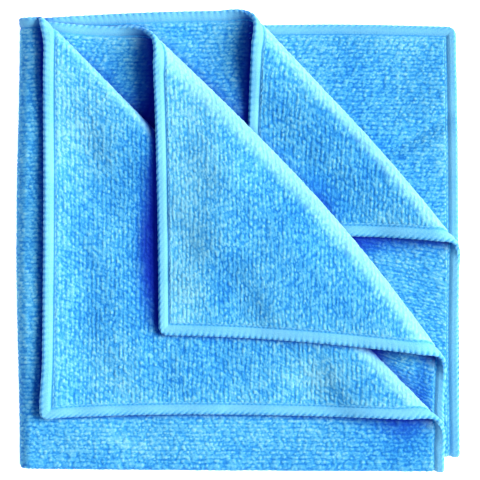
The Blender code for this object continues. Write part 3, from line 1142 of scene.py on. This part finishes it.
@dataclass
class Hem:
    """The overlocked edge: a rolled rim, a band of looper thread and the needle line behind it.

    SECTION gives its distances in from the edge and its heights in millimetres, out to the rim's round bead,
    whose points lie at BEAD_ANGLES. slant is how far a thread leans along the edge for its way in, and wobble
    how unevenly the threads are spaced, in stitches. face_up and face_down scale the height where the face
    lies up or down. rim, needle and groove_wide are how far the rim, the needle line and the groove reach,
    and pull is how deep the threads draw the rim in. cut is how deep the gaps between threads are
    everywhere, and what the rim and the needle line add to that; contrast is the same for how strongly the
    gaps show in colour.
    """

    SECTION: ClassVar[tuple[tuple[float, float], ...]] = (
        (6.0, 0.25), (5.5, 0.62), (5.15, 0.5), (4.8, 0.25), (4.3, 0.5), (3.5, 0.85), (2.6, 1.03),
    )
    BEAD_ANGLES: ClassVar[tuple[float, ...]] = (118, 90, 64, 40, 18)

    sheet: Sheet
    stitch: float = 2.75 * MM
    steps: int = 5
    seed: int = 17
    wobble: float = 0.07
    slant: float = -0.6
    bead: float = 1.15 * MM
    rim: float = 1.25 * MM
    needle: float = 0.4 * MM
    needle_line: float = 5.4 * MM
    groove: float = 4.85 * MM
    groove_wide: float = 0.45 * MM
    foot: float = 0.3 * MM
    pull: float = 0.2 * MM
    rim_open: float = 3.0 * MM
    cut: tuple[float, float, float] = (0.04, 0.22, 0.3)
    contrast: tuple[float, float, float] = (0.1, 0.85, 0.7)
    # painted shade in the groove behind the rim
    groove_painted_shade: float = 0.55
    thread_gain: float = 1.35
    turn_gain: float = 1.6
    face_up: float = 1.25
    face_down: float = 0.82
    rows: int = 8

    def profile(self) -> tuple[Array, Array]:
        """Give the hem's section from one face round the rim to the other.

        Returns:
            Distances in from the edge, and heights, below 0 on the outer face.
        """
        depth = [in_from_edge * MM for in_from_edge, _ in self.SECTION]
        height = [above * MM for _, above in self.SECTION]
        for angle in self.BEAD_ANGLES:
            depth.append(self.bead * (1 - cos(radians(angle))))
            height.append(self.bead * sin(radians(angle)))
        depth = np.array(depth + [0.0] + depth[::-1])
        height = np.array(height + [0.0] + [-h for h in height[::-1]])
        return depth, height

    def ring(self, depth: Array) -> tuple[Array, Array, float]:
        """Lay the section out round the flat sheet.

        Args:
            depth: the section's distances in from the edge.

        Returns:
            The ring's places on the flat sheet, how far round each section lies, and the way round.
        """
        plan = self.sheet.plan
        low, high, tall = -plan.width_front, plan.width_back, plan.half_height
        corners = [np.array(c) for c in ((low, -tall), (high, -tall), (high, tall), (low, tall))]
        sections, places = [], []
        total = 0.0
        for start, end in zip(corners, corners[1:] + corners[:1]):
            length = np.linalg.norm(end - start)
            along = (end - start) / length
            inward = np.array((-along[1], along[0]))
            count = int(round(length / self.stitch)) * self.steps
            t = np.arange(count) / count
            squeeze = depth + (length - 2 * depth) * t[:, None]
            sections.append(start + squeeze[..., None] * along + depth[:, None] * inward)
            places.append(total + t * length)
            total += length
        return np.concatenate(sections), np.concatenate(places), total

    def threads(self, depth: Array, place: Array, total: float) -> Array:
        """Give the looper threads' pattern, each thread a little off its place.

        Args:
            depth: the section's distances in from the edge.
            place: how far round the sheet each section lies.
            total: the whole way round.

        Returns:
            1 on a thread, 0 between threads.
        """
        stitches = int(total / self.stitch) + 2
        phase = (place[:, None] + self.slant * depth) / self.stitch
        wobble = np.random.default_rng(self.seed).normal(0, self.wobble, stitches + 4)
        phase = phase + wobble[np.floor(phase).astype(int) % stitches]
        thread = 0.5 + 0.5 * np.cos(2 * pi * phase)
        return ease(thread * self.thread_gain)

    def normals(self, u: Array, v: Array) -> Array:
        """Give the folded sheet's normals.

        Args:
            u: places across the sheet.
            v: places up the sheet.

        Returns:
            Unit normals on the inner face's side.
        """
        plan, tiny = self.sheet.plan, 0.1 * MM
        across = plan.place(u + tiny, v) - plan.place(u - tiny, v)
        up = plan.place(u, v + tiny) - plan.place(u, v - tiny)
        normal = np.cross(across, up)
        return normal / np.linalg.norm(normal, axis=-1, keepdims=True)

    def build(self, inner: Openness, outer: Openness) -> bpy.types.Object:
        """Make the hem as one ring.

        Args:
            inner: how open the sheet's inner face lies.
            outer: how open its outer face lies.

        Returns:
            The hem's object.
        """
        depth, height = self.profile()
        flat, place, total = self.ring(depth)
        u, v = flat[..., 0], flat[..., 1]
        normal = self.normals(u, v)
        thread = self.threads(depth, place, total)
        near_edge = np.exp(-((depth / self.rim) ** 2))
        near_needle = np.exp(-(((depth - self.needle_line) / self.needle) ** 2))
        in_groove = np.exp(-(((depth - self.groove) / self.groove_wide) ** 2))
        cut, contrast = (
            all_over + at_edge * near_edge + at_needle * near_needle
            for all_over, at_edge, at_needle in (self.cut, self.contrast)
        )
        drop = cut * (1 - thread) * np.where(np.abs(height) <= self.foot, 0, 1)
        up_share = ease(0.5 + 0.5 * np.sign(height) * normal[..., 2] * self.turn_gain)
        tall = height * (1 - drop) * (self.face_down + (self.face_up - self.face_down) * up_share)
        points = self.sheet.plan.place(u, v) + tall[..., None] * normal + self.sheet.shift
        # painted shade: the thread colour is darkened in the groove behind the rim
        thread = (1 - (1 - thread) * np.clip(contrast, 0, 1)) * (1 - self.groove_painted_shade * in_groove)
        pull = self.pull * (1 - thread) * near_edge
        points += pull[..., None] * self.inward(flat, depth)
        points[..., 2] = np.maximum(points[..., 2], FLOOR_GAP)
        # Openness for the painted shade: the rim takes that of its more open face, so that less painted shade
        # falls on it.
        both = inner.at(u, v), outer.at(u, v)
        own = np.where(height > 0, *both)
        at_rim = np.exp(-((depth / self.rim_open) ** 2))
        open_share = own + at_rim * (np.maximum(*both) - own)
        return self.mesh(points, thread, open_share, place / total)

    def inward(self, flat: Array, depth: Array) -> Array:
        """Give the way in from the edge, in the folded cloth.

        Args:
            flat: the hem's places on the flat sheet.
            depth: the section's distances in from the edge.

        Returns:
            Unit vectors for every point of the ring.
        """
        plan, edge = self.sheet.plan, int(np.argmin(depth))
        inside = plan.place(flat[:, 0, 0], flat[:, 0, 1]) - plan.place(flat[:, edge, 0], flat[:, edge, 1])
        inside /= np.maximum(np.linalg.norm(inside, axis=-1, keepdims=True), 1e-9)
        return inside[:, None, :]

    def mesh(self, points: Array, thread: Array, open_share: Array, part: Array) -> bpy.types.Object:
        """Join the ring's sections.

        Args:
            points: the ring's points, one section after another.
            thread: 1 on a thread and 0 between threads.
            open_share: how open each point lies.
            part: how far round the ring each section lies, 0..1.

        Returns:
            The hem's object.
        """
        count, wide = points.shape[:2]
        number = np.arange(count * wide).reshape(count, wide)
        after = np.roll(number, -1, axis=0)
        faces = np.stack((number[:, :-1], number[:, 1:], after[:, 1:], after[:, :-1]), axis=-1).reshape(-1, 4)
        section = np.linspace(0, 1, wide)
        row = np.floor(part * self.rows)
        flat_x = (part * self.rows - row)[:, None] * 0.98 + 0.01 + 0 * section
        flat_y = (row[:, None] + 0.05 + 0.9 * section) / self.rows
        flat = np.stack((flat_x, flat_y), axis=-1).reshape(-1, 2)
        facts = {"thread": thread.ravel(), "open": open_share.ravel()}
        return MeshMaker.make("hem", points.reshape(-1, 3), faces, flat, facts)


class Shade:
    """A number on a node tree, with the arithmetic that the finishes use."""

    def __init__(self, bench: "Bench", socket: bpy.types.NodeSocket) -> None:
        """Keep the socket and the tree it is on."""
        self.bench = bench
        self.socket = socket

    def _with(self, operation: str, first: Number, second: Number) -> "Shade":
        """Add a Math node, and give its result."""
        node = self.bench.node("ShaderNodeMath", {"operation": operation}, {0: first, 1: second})
        return Shade(self.bench, node.outputs[0])

    def __add__(self, other: Number) -> "Shade":
        """Add."""
        return self._with("ADD", self, other)

    def __sub__(self, other: Number) -> "Shade":
        """Take away."""
        return self._with("SUBTRACT", self, other)

    def __rsub__(self, other: Number) -> "Shade":
        """Take this away from a number."""
        return self._with("SUBTRACT", other, self)

    def __mul__(self, other: Number) -> "Shade":
        """Multiply."""
        return self._with("MULTIPLY", self, other)

    __radd__ = __add__
    __rmul__ = __mul__


class Bench:
    """A new material's node tree, and the nodes that are put on it."""

    # Painted shade: it starts where the openness falls below OPEN_ABOVE and is full below SHUT_BELOW.
    OPEN_ABOVE: ClassVar[float] = 0.84
    SHUT_BELOW: ClassVar[float] = 0.38
    PAINTED_SHADE_MOST: ClassVar[float] = 0.97

    def __init__(self, name: str) -> None:
        """Start a material with one shader.

        Args:
            name: the finish's name.
        """
        self.material = bpy.data.materials.new(name)
        self.material.use_nodes = True
        self.tree = self.material.node_tree
        self.shader = self.tree.nodes["Principled BSDF"]

    def node(self, kind: str, settings: dict[str, Any], inputs: dict[Any, Any]) -> bpy.types.Node:
        """Add a node.

        Args:
            kind: the node's type.
            settings: its settings, set first; "stops" are a ramp's places and colours.
            inputs: values or links of its sockets, by name or number.

        Returns:
            The node.
        """
        node = self.tree.nodes.new(kind)
        for name, value in settings.items():
            if name == "stops":
                self.stops(node.color_ramp, value)
            else:
                setattr(node, name, value)
        for key, value in inputs.items():
            self.feed(node.inputs[key], value)
        return node

    def stops(self, ramp: bpy.types.ColorRamp, stops: tuple[tuple[float, Colour], ...]) -> None:
        """Set a ramp's stops.

        Args:
            ramp: the ramp.
            stops: places and colours.
        """
        while len(ramp.elements) < len(stops):
            ramp.elements.new(1.0)
        for element, (place, colour) in zip(ramp.elements, stops):
            element.position = place
            element.color = (*colour, 1.0)

    def feed(self, socket: bpy.types.NodeSocket, value: Any) -> None:
        """Link or set a socket.

        Args:
            socket: the socket fed.
            value: a shade, a socket or a constant.
        """
        source = value.socket if isinstance(value, Shade) else value
        if isinstance(source, bpy.types.NodeSocket):
            self.tree.links.new(source, socket)
        else:
            socket.default_value = value

    def fact(self, name: str) -> Shade:
        """Read a number that the mesh carries."""
        return Shade(self, self.node("ShaderNodeAttribute", {"attribute_name": name}, {}).outputs["Fac"])

    def vector_fact(self, name: str) -> bpy.types.NodeSocket:
        """Read a vector that the mesh carries."""
        return self.node("ShaderNodeAttribute", {"attribute_name": name}, {}).outputs["Vector"]

    def stretched(self, place: bpy.types.NodeSocket, scale: Colour) -> bpy.types.NodeSocket:
        """Scale a vector along its three axes."""
        node = self.node("ShaderNodeVectorMath", {"operation": "MULTIPLY"}, {0: place, 1: scale})
        return node.outputs["Vector"]

    def mix(self, factor: Shade, first: bpy.types.NodeSocket, second: Colour) -> bpy.types.NodeSocket:
        """Mix a colour towards a constant one."""
        settings = {"data_type": "RGBA", "clamp_factor": True}
        return self.node("ShaderNodeMix", settings, {0: factor, 6: first, 7: (*second, 1.0)}).outputs[2]

    def painted_shade(self) -> Shade:
        """Give how much painted shade a place gets, from how shut in it lies beside another layer, most of
        all towards the key light.

        Returns:
            0 in the open, near 1 close to where two layers touch, where the painted shade is deepest.
        """
        inputs = {"Value": self.fact("open"), "To Min": 0.0, "To Max": self.PAINTED_SHADE_MOST}
        inputs.update({"From Min": self.OPEN_ABOVE, "From Max": self.SHUT_BELOW})
        node = self.node("ShaderNodeMapRange", {"interpolation_type": "SMOOTHSTEP"}, inputs)
        return Shade(self, node.outputs["Result"])

    def place(self) -> bpy.types.NodeSocket:
        """Give the place on the object."""
        return self.node("ShaderNodeTexCoord", {}, {}).outputs["Object"]

    def noise(self, scale: float, detail: float, place: bpy.types.NodeSocket) -> Shade:
        """Add a noise of scale cells in a metre, and give it, about 0.3..0.7."""
        node = self.node("ShaderNodeTexNoise", {}, {"Vector": place, "Scale": scale, "Detail": detail})
        return Shade(self, node.outputs["Fac"])

    def ramp(self, factor: Shade, stops: tuple[tuple[float, Colour], ...]) -> bpy.types.NodeSocket:
        """Read a colour from a ramp."""
        return self.node("ShaderNodeValToRGB", {"stops": stops}, {"Fac": factor}).outputs["Color"]

    def bump(self, height: Shade, distance: float) -> bpy.types.NodeSocket:
        """Turn a height, 0..1, into a bumped normal; distance is how high 1 is."""
        node = self.node("ShaderNodeBump", {}, {"Height": height, "Distance": distance})
        return node.outputs["Normal"]

    def finish(self, sheen: float, sheen_tint: Colour, **inputs: Any) -> bpy.types.Material:
        """Feed the shader.

        Args:
            sheen: how much sheen the surface has.
            sheen_tint: the sheen's colour.
            inputs: the other sockets, with _ for a space.

        Returns:
            The material.
        """
        self.feed(self.shader.inputs["Sheen Weight"], sheen)
        self.feed(self.shader.inputs["Sheen Roughness"], 0.45)
        self.feed(self.shader.inputs["Sheen Tint"], (*sheen_tint, 1.0))
        self.feed(self.shader.inputs["Specular IOR Level"], 0.2)
        for name, value in inputs.items():
            self.feed(self.shader.inputs[name.replace("_", " ")], value)
        return self.material


@dataclass(frozen=True)
class PileFinish:
    """Sky-blue microfibre loops: deep blue between the loops and paler on their tips, partly their own tone
    and partly painted shade in the gaps and a painted highlight on the tips.
    """

    gap: Colour = (0.006, 0.18, 0.56)
    side: Colour = (0.038, 0.34, 0.66)
    top: Colour = (0.12, 0.50, 0.70)
    tip: Colour = (0.26, 0.65, 0.74)
    # painted highlight: pale colour along the outer lines of the turned folds, where light falls on the rolls
    painted_highlight: Colour = (0.34, 0.74, 0.76)
    # painted shade: deep navy mixed in where the cloth lies shut in beside another layer
    painted_shade: Colour = (0.0, 0.012, 0.40)
    mottle_scale: float = 45
    grain_scale: float = 1150
    fibre_scale: float = 2600
    ground_scale: float = 620
    grain_stretch: Colour = (0.38, 1.0, 1.0)

    def colours(self) -> tuple[tuple[float, Colour], ...]:
        """Give the ramp from a gap to a tip."""
        return ((0.05, self.gap), (0.38, self.side), (0.68, self.top), (0.98, self.tip))

    def loops(self) -> bpy.types.Material:
        """Make the finish of the loops that show.

        Returns:
            The material.
        """
        bench = Bench("microfibre_loops")
        place = bench.place()
        carried = bench.vector_fact("cloth_place")
        mottle = bench.noise(self.mottle_scale, 3, place)
        grain = bench.noise(self.grain_scale, 1, bench.stretched(carried, self.grain_stretch))
        fibre = bench.noise(self.fibre_scale, 2, carried)
        # painted highlight along the turned folds: it lifts the tone and mixes in the pale colour
        painted_highlight = bench.fact("painted_highlight")
        # The loop's height darkens the gaps and lightens the tips: partly own tone, partly painted shade and
        # painted highlight.
        own = bench.fact("depth") * 0.68 + bench.fact("shade") * 0.07 + bench.fact("tone_shift") + painted_highlight * 0.22
        tone = own + (mottle - 0.5) * 0.5 + (grain - 0.5) * 0.65 + (fibre - 0.5) * 0.45 + 0.16
        colour = bench.mix(painted_highlight * 0.52, bench.ramp(tone, self.colours()), self.painted_highlight)
        # painted shade: deep navy where the loops lie shut in, most of all away from the key light
        colour = bench.mix(bench.painted_shade(), colour, self.painted_shade)
        return bench.finish(
            0.2, (0.6, 0.9, 1.0),
            Base_Color=colour,
            Roughness=0.92 - fibre * 0.15,
            Normal=bench.bump(fibre + grain, 0.14 * MM),
        )

    def plain(self) -> bpy.types.Material:
        """Make the finish of the sheet itself, with its ribs as bump.

        Returns:
            The material.
        """
        bench = Bench("microfibre_ground")
        carried = bench.vector_fact("cloth_place")
        split = bench.node("ShaderNodeSeparateXYZ", {}, {"Vector": carried})
        grain = bench.noise(self.ground_scale, 3, bench.place())
        rib = Shade(bench, split.outputs["Y"]) * (2 * pi / Loops.rib)
        wave = bench.node("ShaderNodeMath", {"operation": "COSINE"}, {0: rib + grain * 2.0})
        height = Shade(bench, wave.outputs[0]) * 0.3 + grain * 0.8
        return bench.finish(
            0.1, (0.7, 0.9, 1.0),
            # the loops' ramp: rib grooves take the deep gap colour, partly painted shade
            Base_Color=bench.ramp(height * 0.5 + 0.2, self.colours()),
            Roughness=0.98 - grain * 0.1,
            Normal=bench.bump(height, 0.35 * MM),
        )


@dataclass(frozen=True)
class ThreadFinish:
    """The overlock thread, the same blue as the cloth but painted paler: a painted highlight for its
    smoother, shinier yarn.
    """

    gap: Colour = (0.015, 0.24, 0.62)
    side: Colour = (0.085, 0.42, 0.70)
    top: Colour = (0.19, 0.57, 0.74)
    # painted shade: deep navy mixed in where the thread lies shut in
    painted_shade: Colour = (0.0, 0.08, 0.46)
    strand_scale: float = 1500
    mottle_scale: float = 90

    def build(self) -> bpy.types.Material:
        """Make the finish.

        Returns:
            The material.
        """
        bench = Bench("overlock_thread")
        place = bench.place()
        strand = bench.noise(self.strand_scale, 2, place)
        mottle = bench.noise(self.mottle_scale, 2, place)
        tone = bench.fact("thread") * 0.6 + (strand - 0.5) * 0.4 + (mottle - 0.5) * 0.4 + 0.12
        colour = bench.ramp(tone, ((0.05, self.gap), (0.4, self.side), (0.75, self.top)))
        return bench.finish(
            0.2, (0.7, 0.92, 1.0),
            # painted shade: deep navy where the thread lies shut in
            Base_Color=bench.mix(bench.painted_shade(), colour, self.painted_shade),
            Roughness=0.8 - strand * 0.2,
            Normal=bench.bump(strand, 0.15 * MM),
        )


@dataclass
class Studio:
    """The floor, the light and the camera, whose angles are in degrees."""

    aim: Array
    view_width: float = 217.92 * MM
    distance: float = 1.6
    aim_height: float = 9 * MM
    sensor: float = 36.0
    floor_size: float = 3.0
    rim_height: float = 0.4
    floor_glow: float = 0.97
    floor_turns: int = 48
    key_power: float = 6.1
    key_softness: float = 40
    key_tilt: float = 55
    key_turn: float = 6
    sky: Colour = (0.14, 0.36, 1.0)
    sky_power: float = 0.36

    def floor(self) -> bpy.types.Object:
        """Make the pale floor, turned up at its far edge so that nothing shows past it.

        Returns:
            The floor.
        """
        turns = self.floor_turns
        rings = ((self.floor_size, 0.0), (self.floor_size, self.rim_height))
        points = [(0.0, 0.0, 0.0)]
        for radius, height in rings:
            for k in range(turns):
                turn = 2 * pi * k / turns
                points.append((radius * cos(turn), radius * sin(turn), height))
        faces: list[tuple[int, ...]] = []
        for k in range(turns):
            here, after = 1 + k, 1 + (k + 1) % turns
            faces.append((0, here, after))
            faces.append((here, here + turns, after + turns, after))
        mesh = bpy.data.meshes.new("floor")
        mesh.from_pydata(points, [], faces)
        floor = bpy.data.objects.new("floor", mesh)
        bpy.context.scene.collection.objects.link(floor)
        bench = Bench("white_floor")
        grain = bench.noise(6, 2, bench.place())
        colour = bench.ramp(grain, ((0.0, (0.86, 0.87, 0.88)), (1.0, (0.92, 0.93, 0.94))))
        bench.feed(bench.shader.inputs["Emission Color"], (1.0, 1.0, 1.0, 1.0))
        bench.feed(bench.shader.inputs["Emission Strength"], self.floor_glow)
        mesh.materials.append(bench.finish(0.0, (1, 1, 1), Base_Color=colour, Roughness=0.9))
        return floor

    def lights(self) -> None:
        """Set the key light low on the right, and the soft light round it."""
        sun = bpy.data.lights.new("key", "SUN")
        sun.energy = self.key_power
        sun.angle = radians(self.key_softness)
        key = bpy.data.objects.new("key", sun)
        key.rotation_euler = (0.0, radians(self.key_tilt), radians(self.key_turn))
        bpy.context.scene.collection.objects.link(key)
        world = bpy.data.worlds.new("soft_light")
        world.use_nodes = True
        back = world.node_tree.nodes["Background"]
        back.inputs["Color"].default_value = (*self.sky, 1.0)
        back.inputs["Strength"].default_value = self.sky_power
        bpy.context.scene.world = world

    def camera(self) -> None:
        """Look straight down on the cloth."""
        data = bpy.data.cameras.new("above")
        data.sensor_width = self.sensor
        data.lens = self.sensor * self.distance / self.view_width
        data.clip_end = 20.0
        camera = bpy.data.objects.new("above", data)
        camera.location = (self.aim[0], self.aim[1], self.aim_height + self.distance)
        bpy.context.scene.collection.objects.link(camera)
        bpy.context.scene.camera = camera

    def build(self) -> None:
        """Set everything up, with colours shown as they are."""
        self.floor()
        self.lights()
        self.camera()
        bpy.context.scene.view_settings.view_transform = "Standard"


def dress(piece: bpy.types.Object, material: bpy.types.Material) -> None:
    """Give a piece its finish and its place in the frame.

    Args:
        piece: the piece.
        material: its finish.
    """
    piece.data.materials.append(material)
    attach(piece, "root")
    faces = len(piece.data.polygons)
    LOG.info("%s: %d points, %d faces", piece.name, len(piece.data.vertices), faces)


def main() -> None:
    """Build the cloth from its sheet outwards, then the studio."""
    logging.basicConfig(level=logging.INFO, format="%(name)s %(message)s")
    sheet = Sheet(FoldPlan())
    sheet.grid()
    ground = sheet.build()
    finish = PileFinish()
    dress(ground, finish.plain())
    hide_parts("cloth")
    visibility = Visibility(sheet, ground)
    pile = Pile(sheet)
    pile.grid()
    loops_material = finish.loops()
    openness = {face: visibility.look(face) for face in Face}
    loops = {face: Loops(seed=LOOP_SEED + face.value) for face in Face}
    for patch in PATCHES:
        skin = pile.build(patch, openness[patch.face], loops[patch.face])
        dress(skin, loops_material)
    hem = Hem(sheet).build(openness[Face.INNER], openness[Face.OUTER])
    dress(hem, ThreadFinish().build())
    Studio(aim=sheet.shift).build()


if __name__ == "__main__":
    main()
